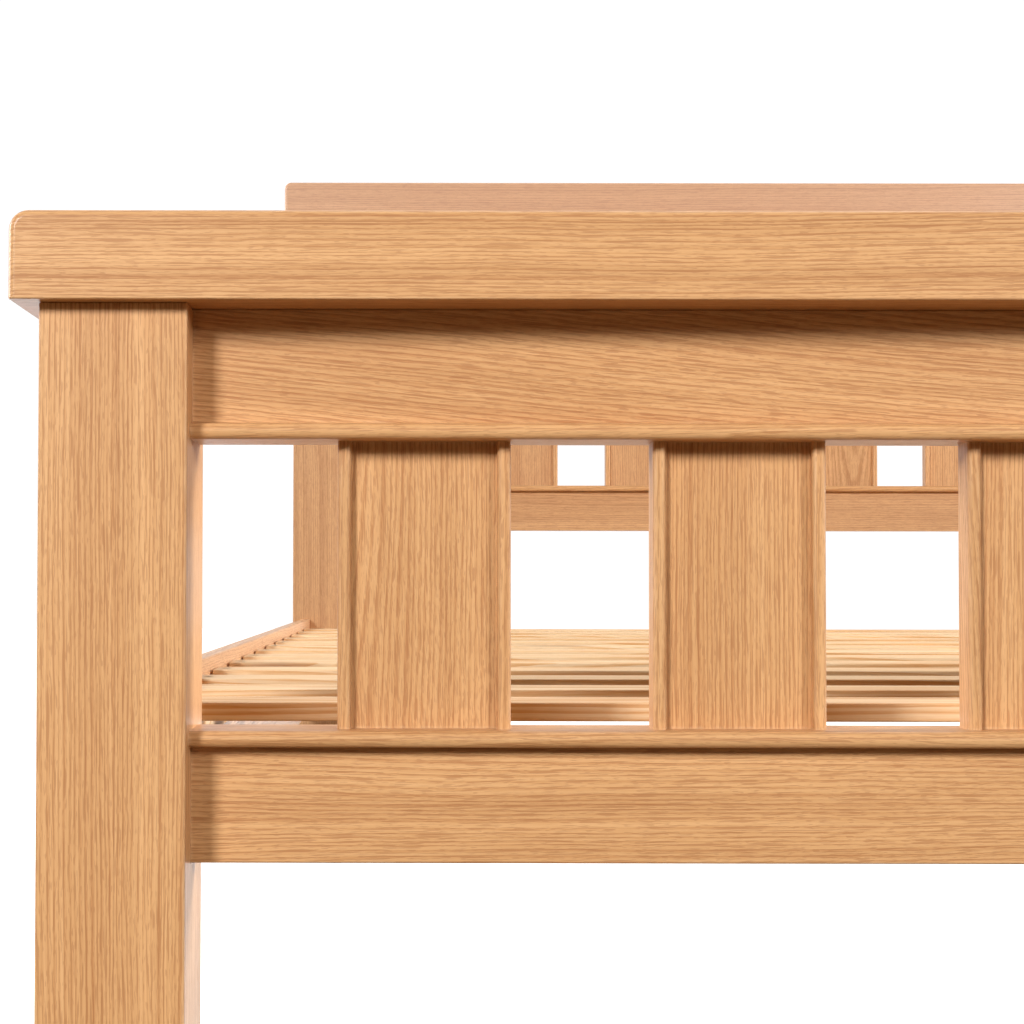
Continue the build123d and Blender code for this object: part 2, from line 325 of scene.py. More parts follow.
@dataclass(frozen=True)
class Figure:
    """The scales and strengths of a wood's pattern. Scales are repeats per metre across and along the log.

    Attributes:
        sway: scale of the slow bends of the grain, with twice their reach in sway_by.
        curl: scale of the small bends, with twice their reach in curl_by.
        fibre: scale of the finest lines.
        streak: scale of the lines that the eye picks out.
        broad: scale of the paler and deeper bands.
        dashes: scale of the long pores.
        specks: scale of the short pores.
        knots: how densely knots are set.
        knot_reach: how far the rings bow out round a knot.
        good_years: how quickly the width of the rings changes, with its strength in good_by.
        streak_by, broad_by, fibre_by: how strongly each of those colours the wood.
        stops: where the ramp turns from pale to middle to deep.
    """

    sway: Triple = (8, 8, 2.2)
    sway_by: float = 0.014
    curl: Triple = (70, 70, 14)
    curl_by: float = 0.0018
    fibre: Triple = (1900, 1900, 14)
    streak: Triple = (330, 330, 2.6)
    broad: Triple = (75, 75, 1.2)
    dashes: Triple = (1500, 1500, 50)
    specks: Triple = (2400, 2400, 190)
    knots: Triple = (7, 7, 2.3)
    knot_reach: float = 0.012
    good_years: float = 130.0
    good_by: float = 1.6
    streak_by: float = 0.38
    broad_by: float = 0.7
    fibre_by: float = 0.72
    stops: Triple = (0.0, 0.38, 0.85)


FIGURE = Figure()


@dataclass(frozen=True)
class Timber:
    """The figure and colours of one kind of wood, as a node group on log coordinates, pith along Z.

    Attributes:
        name: the group's name.
        pale: colour of the palest wood in a ring.
        middle: colour half way.
        deep: colour of the deepest wood in a ring.
        pore: colour in the open pores.
        ring: width of a year's growth.
        pores: how plainly the pores show, 0 to 1.
        gloss: roughness of the surface between pores.
        band: how plainly the rings show, 0 to 1.
        knots: True if the wood has knots.
    """

    name: str
    pale: Colour
    middle: Colour
    deep: Colour
    pore: Colour
    ring: float
    pores: float
    gloss: float
    band: float
    knots: bool = False

    def group(self) -> bpy.types.NodeTree:
        """Returns the node group, and makes it the first time."""
        return bpy.data.node_groups.get(self.name) or self._make()

    def _make(self) -> bpy.types.NodeTree:
        """Builds the group: rings, fibres and pores, then colour, roughness and height.

        Returns:
            The group, from Log and Tone to Colour, Roughness and Height.
        """
        tree = bpy.data.node_groups.new(self.name, "ShaderNodeTree")
        for name, way, kind in (
            ("Log", "INPUT", "Vector"), ("Tone", "INPUT", "Float"),
            ("Colour", "OUTPUT", "Color"), ("Roughness", "OUTPUT", "Float"), ("Height", "OUTPUT", "Float"),
        ):
            tree.interface.new_socket(name, in_out=way, socket_type="NodeSocket" + kind)
        sh, fig = Shader(tree), FIGURE
        source = tree.nodes.new("NodeGroupInput").outputs
        swayed = sh.vector("ADD", source["Log"], sh.bend(source["Log"], fig.sway, 1.0, fig.sway_by))
        bent = sh.vector("ADD", swayed, sh.bend(source["Log"], fig.curl, 2.0, fig.curl_by))
        early, knot = self._rings(sh, bent)
        fibre, streak, broad = (sh.noise(bent, scale, 2.0) for scale in (fig.fibre, fig.streak, fig.broad))
        grain = sh.total(
            (early, self.band), (streak, fig.streak_by), (broad, fig.broad_by), (fibre, fig.fibre_by),
            start=-0.5 * (fig.broad_by + fig.fibre_by),
        )
        colour = sh.ramp(grain, zip(fig.stops, (self.pale, self.middle, self.deep)))
        pore = self._pores(sh, bent, early)
        colour = sh.mix(sh.calc("MULTIPLY", pore, 0.6), colour, self.pore)
        if knot is not None:
            colour = sh.mix(sh.calc("MULTIPLY", knot, 0.8), colour, KNOT)
        shade = sh.total((source["Tone"], -0.13), (broad, -0.16), start=1.14)
        grey = sh.node("CombineColor", {0: shade, 1: shade, 2: shade}).outputs[0]
        sink = tree.nodes.new("NodeGroupOutput").inputs
        for name, socket in (
            ("Colour", sh.mix(1.0, colour, grey, "MULTIPLY")),
            ("Roughness", sh.total((pore, 0.2), (streak, 0.12), start=self.gloss - 0.06)),
            ("Height", sh.total((fibre, 0.22), (pore, -1.0), (early, -0.12))),
        ):
            tree.links.new(socket, sink[name])
        return tree

    def _rings(self, sh: Shader, bent: Socket) -> tuple[Socket, Socket | None]:
        """Lays the year rings round the pith, bowed out round any knots.

        Args:
            sh: the group's shader builder.
            bent: the point in the log, with the bends of the grain.

        Returns:
            How much early wood there is at the point, and how much knot, if the wood has knots.
        """
        flat = sh.vector("MULTIPLY", bent, (1, 1, 0))
        radius = sh.node("VectorMath", {0: flat}, operation="LENGTH").outputs["Value"]
        knot = None
        if self.knots:
            cells = sh.node("TexVoronoi", {"Vector": sh.vector("MULTIPLY", bent, FIGURE.knots), "Scale": 1.0})
            away = cells.outputs["Distance"]
            knot = sh.span(away, 0.16, 0.05)
            radius = sh.calc("MULTIPLY_ADD", sh.span(away, 0.3, 0.0), FIGURE.knot_reach, radius)
        years = {"W": sh.calc("MULTIPLY", radius, FIGURE.good_years), "Scale": 1.0}
        growth = sh.node("TexNoise", years, noise_dimensions="1D").outputs["Fac"]
        season = sh.calc("FRACT", sh.total((radius, 1 / self.ring), (growth, FIGURE.good_by)))
        return sh.calc("MULTIPLY", sh.span(season, 0.0, 0.12), sh.span(season, 0.75, 0.15)), knot

    def _pores(self, sh: Shader, bent: Socket, early: Socket) -> Socket:
        """Sets long and short pores, which are denser in early wood.

        Args:
            sh: the group's shader builder.
            bent: the point in the log, with the bends of the grain.
            early: how much early wood there is at the point.

        Returns:
            How much pore there is at the point.
        """
        dashes = sh.calc("MULTIPLY_ADD", early, 0.12, sh.noise(bent, FIGURE.dashes))
        specks = sh.calc("MULTIPLY_ADD", early, 0.08, sh.noise(bent, FIGURE.specks))
        plain = sh.calc("MAXIMUM", sh.span(dashes, 0.62, 0.72), sh.span(specks, 0.60, 0.72, 0.0, 0.75))
        return sh.calc("MULTIPLY", plain, self.pores)


OAK = Timber("oak_figure", srgb(222, 173, 121), srgb(208, 156, 104), srgb(184, 126, 78),
             srgb(152, 92, 48), ring=2.3 * MM, pores=0.66, gloss=0.42, band=0.3)
PINE = Timber("pine_figure", srgb(240, 213, 176), srgb(232, 195, 149), srgb(212, 154, 94),
              srgb(192, 130, 76), ring=4.6 * MM, pores=0.15, gloss=0.6, band=0.5, knots=True)
BEECH = Timber("beech_figure", srgb(226, 188, 150), srgb(214, 170, 130), srgb(196, 148, 108),
               srgb(160, 104, 70), ring=2.2 * MM, pores=0.45, gloss=0.6, band=0.3)


@dataclass(frozen=True)
class WoodFinish:
    """A board's surface: its timber, its coat and the wear along its edges.

    Attributes:
        timber: the wood itself.
        coat: weight of the lacquer, 0 for bare wood.
        relief: depth of the pores and fibres.
        worn: how far the edges have paled, 0 to 1.
        staves: width of the strips that the board is glued up from, or 0 for one solid piece.
        hop: how far apart in the log the strips were cut.
        margin: how far the first strip starts before the board's edge.
        glue: width of a glue line.
        wear: distances from an edge at which the wear has ended and at which it is full.
        ragged: scale of the wear's unevenness, with its reach in ragged_by.
    """

    timber: Timber
    coat: float = 0.35
    relief: float = 0.12 * MM
    worn: float = 0.3
    staves: float = 0.0
    hop: Triple = (0.061, 0.037, 0.83)
    margin: float = 1 * MM
    glue: float = 0.6 * MM
    wear: tuple[float, float] = (3.5 * MM, 1.2 * MM)
    ragged: Triple = (210, 210, 40)
    ragged_by: float = 3.6 * MM

    def dress(self, piece: bpy.types.Object, low: Vector, high: Vector, lie: Lie, cut: Cut) -> None:
        """Gives a piece its own board of this wood.

        Args:
            piece: the object to dress.
            low: the board's lowest corner.
            high: the board's highest corner.
            lie: which way the board runs.
            cut: how it was sawn.
        """
        made, sh = fresh_material(piece.name + "_wood")
        turn = lie.turn()
        half = Vector(abs(c) for c in turn @ ((high - low) / 2))
        board = self._placed(sh, sh.node("TexCoord").outputs["Object"], turn, turn @ (-(low + high) / 2))
        source, seam = self._glued_up(sh, board, half.x) if self.staves else (board, None)
        lean, dive = math.radians(cut.lean), math.radians(cut.dive)
        tilt = Matrix.Rotation(lean, 3, "Y") @ Matrix.Rotation(dive, 3, "X")
        log = self._placed(sh, source, tilt, Vector((cut.across, cut.deep, cut.start)))
        wood = sh.node("Group", node_tree=self.timber.group())
        sh.tree.links.new(log, wood.inputs["Log"])
        wood.inputs["Tone"].default_value = cut.tone
        colour = wood.outputs["Colour"]
        if seam is not None:
            colour = sh.mix(sh.calc("MULTIPLY", seam, 0.4), colour, self.timber.pore)
        # painted sheen: pale pink mixed into the colour stands for the lacquer's glancing reflection
        if cut.painted_sheen:
            colour = sh.mix(cut.painted_sheen, colour, PAINTED_SHEEN_PINK)
        ragged = sh.noise(board, self.ragged, 2.0)
        worn = sh.span(sh.total((ragged, self.ragged_by), (self._rim(sh, board, half), 1.0)), *self.wear)
        bump = sh.node("Bump", {"Strength": 0.7, "Distance": self.relief, "Height": wood.outputs["Height"]})
        sh.surface(sh.node("BsdfPrincipled", {
            "Base Color": sh.mix(sh.calc("MULTIPLY", worn, self.worn), colour, PALE_EDGE),
            "Roughness": sh.calc("MULTIPLY_ADD", worn, 0.08, wood.outputs["Roughness"]),
            "Normal": bump.outputs[0], "Specular IOR Level": 0.3,
            "Coat Weight": self.coat, "Coat Roughness": 0.28, "Coat IOR": 1.5,
        }))
        piece.data.materials.clear()
        piece.data.materials.append(made)

    def _glued_up(self, sh: Shader, board: Socket, half_width: float) -> tuple[Socket, Socket]:
        """Makes a board of strips side by side, each from its own part of the log.

        Args:
            sh: the material's shader builder.
            board: the point in the board.
            half_width: half the board's width.

        Returns:
            The point in the log, and how much glue line there is at the point.
        """
        across = sh.node("SeparateXYZ", {0: board}).outputs[0]
        count = sh.calc("DIVIDE", sh.calc("ADD", across, half_width + self.margin), self.staves)
        number = sh.calc("FLOOR", count)
        steps = sh.node("CombineXYZ", {0: number, 1: number, 2: number}).outputs[0]
        source = sh.vector("ADD", board, sh.vector("MULTIPLY", steps, self.hop))
        edge = sh.calc("PINGPONG", sh.calc("FRACT", count), 0.5)
        return source, sh.calc("SUBTRACT", 1.0, sh.span(edge, 0.0, self.glue / self.staves))

    @staticmethod
    def _placed(sh: Shader, spot: Socket, turn: Matrix, shift: Vector) -> Socket:
        """Turns and shifts a pattern with a Mapping node.

        Args:
            sh: the material's shader builder.
            spot: the point to move.
            turn: how it turns.
            shift: how far it then moves.

        Returns:
            The moved point.
        """
        made = sh.node("Mapping", {"Vector": spot, "Location": shift, "Rotation": turn.to_euler("XYZ")})
        return made.outputs[0]

    @staticmethod
    def _rim(sh: Shader, board: Socket, half: Vector) -> Socket:
        """Measures how far a point of the board's surface is from its nearest edge.

        Args:
            sh: the material's shader builder.
            board: the point in the board.
            half: half the board's sizes.

        Returns:
            The distance.
        """
        inward = sh.vector("SUBTRACT", tuple(half), sh.vector("ABSOLUTE", board))
        x, y, z = sh.node("SeparateXYZ", {0: inward}).outputs
        near, far = sh.calc("MINIMUM", x, y), sh.calc("MAXIMUM", x, y)
        return sh.calc("MAXIMUM", near, sh.calc("MINIMUM", far, z))


@dataclass(frozen=True)
class MetalFinish:
    """Plated or bare metal with uneven tarnish and fine scratches.

    Attributes:
        name: the material's name.
        bright: colour where it is clean.
        dull: colour where it is tarnished.
        rough: roughness where it is clean.
        clouds: scale of the tarnish.
        spangle: scale of the zinc's crystals.
        scratches: scale of the scratches.
    """

    name: str
    bright: Colour
    dull: Colour
    rough: float
    clouds: Triple = (60, 60, 60)
    spangle: float = 420.0
    scratches: Triple = (300, 2600, 1900)

    def material(self) -> bpy.types.Material:
        """Returns the material, and makes it the first time."""
        return bpy.data.materials.get(self.name) or self._make()

    def _make(self) -> bpy.types.Material:
        """Builds the material from tarnish, crystals and scratches.

        Returns:
            The material.
        """
        made, sh = fresh_material(self.name)
        spot = sh.node("TexCoord").outputs["Object"]
        cells = sh.node("TexVoronoi", {"Vector": spot, "Scale": self.spangle}).outputs["Color"]
        crystal = sh.node("SeparateColor", {0: cells}).outputs[0]
        scratch = sh.noise(spot, self.scratches, 1.0)
        mark = sh.total((sh.noise(spot, self.clouds, 3.0), 0.7), (crystal, 0.3))
        bump = sh.node("Bump", {"Strength": 0.4, "Distance": 0.05 * MM, "Height": scratch})
        sh.surface(sh.node("BsdfPrincipled", {
            "Base Color": sh.mix(sh.span(mark, 0.3, 0.7), self.bright, self.dull),
            "Roughness": sh.total((mark, 0.22), (scratch, 0.12), start=self.rough - 0.12),
            "Metallic": 1.0, "Normal": bump.outputs[0],
        }))
        return made


@dataclass(frozen=True)
class PlasticFinish:
    """Moulded nylon with a fine grain and scuffs.

    Attributes:
        name: the material's name.
        body: its colour.
        scuff: its colour where it is rubbed.
        rough: its roughness.
        clouds: scale of the rubbed patches.
        grain: scale of the moulded grain.
    """

    name: str
    body: Colour
    scuff: Colour
    rough: float
    clouds: Triple = (90, 90, 90)
    grain: Triple = (1400, 1400, 1400)

    def material(self) -> bpy.types.Material:
        """Returns the material, and makes it the first time."""
        return bpy.data.materials.get(self.name) or self._make()

    def _make(self) -> bpy.types.Material:
        """Builds the material from rubbed patches and moulded grain.

        Returns:
            The material.
        """
        made, sh = fresh_material(self.name)
        spot = sh.node("TexCoord").outputs["Object"]
        cloud, fine = sh.noise(spot, self.clouds, 3.0), sh.noise(spot, self.grain, 1.0)
        bump = sh.node("Bump", {"Strength": 0.5, "Distance": 0.04 * MM, "Height": fine})
        sh.surface(sh.node("BsdfPrincipled", {
            "Base Color": sh.mix(sh.span(cloud, 0.45, 0.75), self.body, self.scuff),
            "Roughness": sh.total((cloud, 0.2), start=self.rough - 0.1),
            "Normal": bump.outputs[0],
        }))
        return made


LACQUERED_OAK = WoodFinish(OAK)
GLUED_OAK = WoodFinish(OAK, staves=40.5 * MM)
PLANED_PINE = WoodFinish(PINE, coat=0.0, relief=0.1 * MM, worn=0.25)
PLANED_BEECH = WoodFinish(BEECH, coat=0.0, worn=0.1)
ZINC = MetalFinish("zinc_plate", srgb(214, 217, 222), srgb(168, 172, 178), 0.42)
YELLOW_ZINC = MetalFinish("yellow_zinc_plate", srgb(226, 196, 120), srgb(186, 150, 84), 0.3)
BRASS = MetalFinish("brass_turned", srgb(222, 184, 104), srgb(168, 128, 66), 0.28)
WHITE_NYLON = PlasticFinish("nylon_white", srgb(226, 224, 216), srgb(198, 194, 184), 0.5)
BLACK_NYLON = PlasticFinish("nylon_black", srgb(32, 32, 34), srgb(62, 61, 60), 0.48)


@dataclass(frozen=True)
class Easing:
    """A rounding that runs along some of a board's edges.

    Attributes:
        where: says of the middle of an edge and its direction whether it is rounded.
        radius: the rounding's radius.
        steps: how many faces it has.
    """

    where: EdgeTest
    radius: float
    steps: int = 4


def along(axis: int) -> EdgeTest:
    """Picks the edges that run along an axis.

    Args:
        axis: 0, 1 or 2.

    Returns:
        The test for an Easing.
    """
    return lambda middle, way: abs(way[axis]) > ALIGNED


def every_edge(middle: Vector, way: Vector) -> bool:
    """Picks every edge."""
    return True


@dataclass
class Board:
    """One board: a block at its CAD place, with its edges rounded, that stands for its CAD node.

    Attributes:
        name: the piece's name.
        node: the CAD node that it stands for.
        slot: a name for the board's finish; not used.
        lie: which way it runs.
        finish: its wood and surface.
        cut: how it was sawn.
        low: its lowest corner.
        high: its highest corner.
        easings: the roundings along its edges, in the order they are made.
        piece: the object, once it is built.
    """

    name: str
    node: str
    slot: str
    lie: Lie
    finish: WoodFinish
    cut: Cut
    low: Vector
    high: Vector
    easings: tuple[Easing, ...] = ()
    piece: bpy.types.Object | None = field(default=None, init=False)

    def build(self) -> None:
        """Models the board, dresses it and hangs it on the bed's body."""
        bpy.ops.object.select_all(action="DESELECT")
        middle, size = (self.low + self.high) / 2, self.high - self.low
        bpy.ops.mesh.primitive_cube_add(size=1, location=middle, scale=size)
        bpy.ops.object.transform_apply(location=True, rotation=True, scale=True)
        self.piece = bpy.context.object
        self.piece.name = self.piece.data.name = self.name
        for easing in self.easings:
            self._round(easing)
        bpy.ops.object.shade_smooth_by_angle(angle=SMOOTH_BELOW)
        weighted = self.piece.modifiers.new("even_normals", "WEIGHTED_NORMAL")
        weighted.keep_sharp = True
        bpy.ops.object.modifier_apply(modifier=weighted.name)
        self.finish.dress(self.piece, self.low, self.high, self.lie, self.cut)
        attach(self.piece, BED)
        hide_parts(self.node)
        LOG.info("%s: %d faces, stands for %s", self.name, len(self.piece.data.polygons), self.node)

    def _round(self, easing: Easing) -> None:
        """Bevels the edges that an easing names.

        Args:
            easing: the rounding to make.
        """
        mesh = self.piece.data
        bpy.ops.object.mode_set(mode="EDIT")
        bpy.ops.mesh.select_mode(type="EDGE")
        bpy.ops.mesh.select_all(action="DESELECT")
        bpy.ops.object.mode_set(mode="OBJECT")
        for edge in mesh.edges:
            first, second = (mesh.vertices[i].co for i in edge.vertices)
            edge.select = easing.where((first + second) / 2, (second - first).normalized())
        bpy.ops.object.mode_set(mode="EDIT")
        bpy.ops.mesh.bevel(offset=easing.radius, segments=easing.steps, affect="EDGES", profile=0.5)
        bpy.ops.object.mode_set(mode="OBJECT")


@dataclass
class EndFrame:
    """The head or foot of the bed: two posts, a cap, rails, strips and lipped slats.

    Attributes:
        end: head or foot.
        cuts: how some of its boards were sawn, by node; the others draw theirs.
        eased: radius of the posts' and rails' edges.
        cap_end: radius of the cap's upper end corners.
        cap_top: radius of its upper long edges.
        cap_bottom: radius of its lower edges.
        nose: radius of the strips' round noses.
        panel_edge: radius of the panels' edges.
        lipping_round: radius of the lippings' edges.
        lipping_width: width of a lipping.
        lipping_depth: depth of a lipping, front to back.
        groove: how far a panel goes into its lipping.
        slats: how many slats there are.
        tongue: length of a slat's tongue, which is hidden in the strip and rail.
    """

    end: str
    cuts: dict[str, Cut]
    eased: float = 1.2 * MM
    cap_end: float = 10 * MM
    cap_top: float = 4 * MM
    cap_bottom: float = 1 * MM
    nose: float = 4.2 * MM
    panel_edge: float = 0.4 * MM
    lipping_round: float = 2.5 * MM
    lipping_width: float = 7 * MM
    lipping_depth: float = 21.5 * MM
    groove: float = 3 * MM
    slats: int = 8
    tongue: float = 20.5 * MM

    def build(self) -> None:
        """Builds every board of this end."""
        self._posts()
        self._cap()
        self._rails()
        self._strips()
        self._slats()

    def _cut(self, name: str, flat: bool = False) -> Cut:
        """Finds or draws a board's cut.

        Args:
            name: the board's name.
            flat: True for flat-sawn figure where the cut is drawn.

        Returns:
            The cut that was chosen for the board, or one drawn from its name.
        """
        return self.cuts.get(name) or Cut.random(name, flat)

    def _posts(self) -> None:
        """Builds the two posts, glued up from two staves each."""
        for side in SIDES:
            node = f"{self.end}_post_{side}"
            Board(f"{node}_timber", node, "oak_post", Lie.UPRIGHT, GLUED_OAK, self._cut(node), *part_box(node),
                  (Easing(every_edge, self.eased, 3),)).build()

    def _cap(self) -> None:
        """Builds the thick rail along the top: its upper end corners are rounded before its long edges."""
        node = f"{self.end}_cap_rail"
        low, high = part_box(node)
        middle = (low.z + high.z) / 2
        centre, outer = (low.y + high.y) / 2, (high.y - low.y) / 2 - NEAR
        lowest = low.z + self.cap_bottom
        Board(f"{node}_timber", node, "oak_cap", Lie.FLAT, LACQUERED_OAK, self._cut(node), low, high, (
            Easing(lambda at, way: abs(way.y) > ALIGNED and at.z > middle, self.cap_end, 8),
            Easing(lambda at, way: abs(at.y - centre) > outer and at.z > lowest, self.cap_top, 5),
            Easing(lambda at, way: at.z < low.z + NEAR, self.cap_bottom, 3),
        )).build()

    def _rails(self) -> None:
        """Builds the rails, as far as they show between the posts."""
        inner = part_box(f"{self.end}_post_left")[1].x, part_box(f"{self.end}_post_right")[0].x
        for name in ("top_rail", "lower_rail", "base_rail"):
            node = f"{self.end}_{name}"
            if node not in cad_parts:
                continue
            low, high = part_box(node)
            low.x, high.x = inner
            Board(f"{node}_timber", node, "oak_rail", Lie.CROSS_RAIL, LACQUERED_OAK,
                  self._cut(node, True), low, high, (Easing(along(0), self.eased, 3),)).build()

    def _strips(self) -> None:
        """Builds the round-nosed strips that the slats stand between."""
        for name in ("top_strip", "lower_strip"):
            node = f"{self.end}_{name}"
            Board(f"{node}_timber", node, "oak_strip", Lie.FLAT, LACQUERED_OAK,
                  self._cut(node), *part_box(node), (Easing(along(0), self.nose, 6),)).build()

    def _slats(self) -> None:
        """Builds the slats, each a thin panel with a lipping on both long edges."""
        for number in range(1, self.slats + 1):
            node = f"{self.end}_slat_{number}"
            low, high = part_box(node)
            low.z, high.z = low.z + self.tongue, high.z - self.tongue
            cut = self._cut(node, flat=number % 2 == 1)
            Board(f"{node}_panel", node, "oak_panel", Lie.UPRIGHT, LACQUERED_OAK, cut, low, high,
                  (Easing(along(2), self.panel_edge, 2),)).build()
            self._lipping(f"{node}_lipping_left", low, high, low.x + self.groove, -1)
            self._lipping(f"{node}_lipping_right", low, high, high.x - self.groove, 1)

    def _lipping(self, name: str, low: Vector, high: Vector, inside: float, out: int) -> None:
        """Builds one rounded lipping.

        Args:
            name: the piece's name.
            low: lowest corner of the panel that it edges.
            high: highest corner of that panel.
            inside: X of the face over the panel.
            out: -1 if the lipping is on the panel's left, 1 if on its right.
        """
        edges = sorted((inside, inside + out * self.lipping_width))
        middle, depth = (low.y + high.y) / 2, self.lipping_depth / 2
        Board(name, f"{self.end}_slat_lippings", "oak_lipping", Lie.UPRIGHT, LACQUERED_OAK, self._cut(name),
              Vector((edges[0], middle - depth, low.z)), Vector((edges[1], middle + depth, high.z)),
              (Easing(along(2), self.lipping_round, 5),)).build()


# The last number of a cut, where given, is its painted sheen: pale pink that stands for glancing reflection on
# the lacquer.
SIDE_RAIL_CUTS = {
    "side_rail_left": Cut(0.11, 0.07, 0.2, 0.3, 0.8, 0.3, 0.15),
    "side_rail_right": Cut(-0.1, 0.06, 0.3, 0.4, 0.7, 1.9, 0.1),
}
HEAD_CUTS = {
    "head_cap_rail": Cut(0.1, 0.08, 0.5, 0.4, 0.5, 0.7, 0.35),
    "head_post_left": Cut(0.12, 0.08, 0.3, 0.3, 0.9, 0.7, 0.05),
    "head_slat_1": Cut(0.12, 0.07, 0.3, 0.3, 0.8, 0.2, 0.05),
    "head_slat_2": Cut(0.11, -0.07, 0.3, 0.3, 0.7, 1.2, 0.05),
    "head_slat_3": Cut(0.12, 0.09, 0.3, 0.3, 0.8, -1.2, 0.05),
    "head_lower_rail": Cut(0.10, 0.07, 0.5, 0.6, 1.0, 0.1, 0.05),
}
FOOT_CUTS = {
    "foot_post_left": Cut(0.10, 0.07, 0.4, 0.3, 0.35, 0.4),
    "foot_slat_1": Cut(0.055, 0.05, 0.8, 2.2, 0.4, 0.9),
    "foot_top_rail": Cut(0.06, 0.07, -4.0, 2.0, 0.6, 0.2),
    "foot_slat_2": Cut(0.12, 0.05, 0.3, 0.3, 0.3, 1.6),
    "foot_slat_3": Cut(0.11, -0.06, -0.3, 0.3, 0.35, 2.3),
    "foot_lower_rail": Cut(0.09, 0.06, 0.9, 1.2, 0.5, 1.1),
    "foot_cap_rail": Cut(0.10, 0.10, 0.4, 0.6, 0.4, -1.3),
}


@dataclass
class SlatBase:
    """What the mattress lies on: side rails, pine slats and the bearers under them.

    Attributes:
        eased: radius of the boards' edges.
        slats: how many slats there are.
        bearers: the bearers' CAD nodes and which way each runs.
    """

    eased: float = 1.2 * MM
    slats: int = 13
    bearers: tuple[tuple[str, Lie], ...] = (
        ("slat_ledgers", Lie.SIDE_RAIL), ("centre_rail", Lie.SIDE_RAIL),
        ("centre_rail_cleats", Lie.CROSS_RAIL), ("centre_leg", Lie.UPRIGHT),
    )

    def build(self) -> None:
        """Builds the side rails and slats, and dresses the bearers' CAD nodes."""
        for node, cut in SIDE_RAIL_CUTS.items():
            Board(f"{node}_timber", node, "oak_side_rail", Lie.SIDE_RAIL, LACQUERED_OAK, cut, *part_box(node),
                  (Easing(along(1), self.eased, 3),)).build()
        for number in range(1, self.slats + 1):
            node = f"mattress_slat_{number}"
            cut = Cut.random(node, flat=number % 3 != 0)
            Board(f"{node}_timber", node, "pine_slat", Lie.FLAT, PLANED_PINE, cut, *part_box(node),
                  (Easing(along(0), self.eased, 3),)).build()
        for node, lie in self.bearers:
            PLANED_PINE.dress(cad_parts[node], *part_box(node), lie, Cut.random(node))
            LOG.info("%s keeps its CAD shape, in planed pine", node)


@dataclass
class Hardware:
    """The fittings, which keep their CAD shapes.

    Attributes:
        finishes: the fittings' CAD nodes and their finishes.
    """

    finishes: tuple[tuple[str, MetalFinish | PlasticFinish], ...] = (
        ("corner_brackets", ZINC), ("bracket_bolts", ZINC), ("bracket_screws", ZINC),
        ("wood_screws", YELLOW_ZINC), ("leg_insert", BRASS),
        ("post_glides", WHITE_NYLON), ("levelling_foot", BLACK_NYLON),
    )

    def build(self) -> None:
        """Dresses each fitting's CAD node."""
        for node, finish in self.finishes:
            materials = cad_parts[node].data.materials
            materials.clear()
            materials.append(finish.material())
            LOG.info("%s keeps its CAD shape, in %s", node, finish.name)
        PLANED_BEECH.dress(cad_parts["dowels"], *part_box("dowels"), Lie.UPRIGHT, Cut.random("dowels"))
        LOG.info("dowels keeps its CAD shape, in planed beech")


@dataclass(frozen=True)
class Lamp:
    """A soft square light that looks at a point.

    Attributes:
        name: its name.
        place: where it hangs.
        target: the point that it looks at.
        size: the length of its sides.
        power: its power in watts.
    """

    name: str
    place: Triple
    target: Triple
    size: float
    power: float

    def build(self) -> None:
        """Hangs the light."""
        data = bpy.data.lights.new(self.name, "AREA")
        data.shape, data.size, data.energy = "SQUARE", self.size, self.power
        lamp = bpy.data.objects.new(self.name, data)
        bpy.context.scene.collection.objects.link(lamp)
        lamp.location = self.place
        lamp.rotation_euler = (Vector(self.target) - Vector(self.place)).to_track_quat("-Z", "Y").to_euler()


